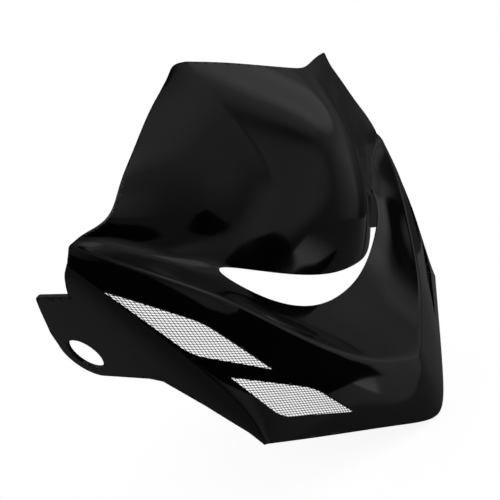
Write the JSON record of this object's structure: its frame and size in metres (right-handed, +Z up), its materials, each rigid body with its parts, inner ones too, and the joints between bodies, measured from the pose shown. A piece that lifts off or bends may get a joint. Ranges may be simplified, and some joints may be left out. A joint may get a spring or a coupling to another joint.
{
  "type": "motorcycle windscreen",
  "caption": "Moulded gloss black motorcycle flyscreen with a bulged blade, a crescent air slot under its lip, mesh-backed side vents and rear mounting tabs.",
  "frame": {"origin": "middle of the bounding box's underside", "axes": "nose towards -Y, +X to the rider's left, +Z up"},
  "size_m": [0.3734, 0.1682, 0.2229],
  "materials": {
    "moulding": "gloss",
    "mesh": "satin"
  },
  "bodies": {
    "root": {"shell": "moulding", "mesh_left": "mesh", "mesh_right": "mesh"}
  },
  "joints": []
}
